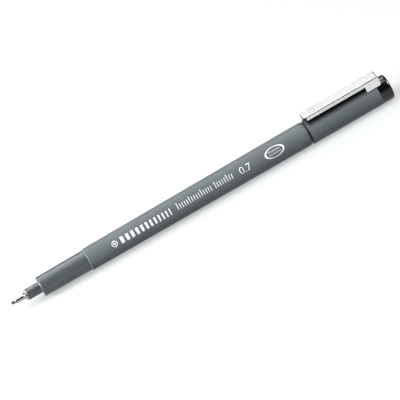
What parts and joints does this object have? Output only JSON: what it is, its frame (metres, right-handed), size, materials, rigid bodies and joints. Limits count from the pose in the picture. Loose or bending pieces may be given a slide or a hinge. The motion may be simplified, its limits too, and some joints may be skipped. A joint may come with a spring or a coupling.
{
  "type": "technical pen",
  "caption": "Fibre-tip technical pen with a slim tapered slate barrel, steel-sleeved nib and a push-on cap with a sprung steel pocket clip, stored with the cap on its rear end.",
  "frame": {"origin": "the nib's writing point, on the pen's axis", "axes": "+X along the pen's axis from the nib to the cap's closed end, +Z towards the clip, +Y across the clip"},
  "size_m": [0.158, 0.0098, 0.0123],
  "materials": {
    "slate_plastic": "satin",
    "section_plastic": "satin",
    "nose_plastic": "gloss",
    "black_plastic": "gloss",
    "plug_plastic": "satin",
    "seal_plastic": "satin",
    "tip_steel": "satin",
    "clip_steel": "polished",
    "nib_fibre": "matte",
    "wick_fibre": "matte",
    "film": "gloss",
    "marking_ink": "matte"
  },
  "bodies": {
    "barrel": {"fibre_nib": "nib_fibre", "tip_sleeve": "tip_steel", "nib_holder": "nose_plastic", "front_section": "section_plastic", "feeder_wick": "wick_fibre", "barrel_shell": "slate_plastic", "barrel_end_plug": "plug_plastic", "ink_reservoir": "wick_fibre", "reservoir_film": "film"},
    "cap_seal": {"inner_cap": "seal_plastic"},
    "cap": {"cap_shell": "slate_plastic", "cap_crown": "black_plastic"},
    "clip": {"clip": "clip_steel"}
  },
  "joints": [
    {"name": "cap_slide", "type": "slide", "parent": "barrel", "child": "cap_seal", "axis": [1, 0, 0], "range_m": [0, 0.03]},
    {"name": "cap_turn", "type": "hinge", "parent": "cap_seal", "child": "cap", "pos_m": [0.139, 0, 0], "axis": [1, 0, 0], "continuous": true},
    {"name": "clip_flex", "type": "hinge", "parent": "cap", "child": "clip", "pos_m": [0.1549, 0, 0.0049], "axis": [0, 1, 0], "range_deg": [0, 4], "stiffness_Nm_per_rad": 0.1}
  ]
}
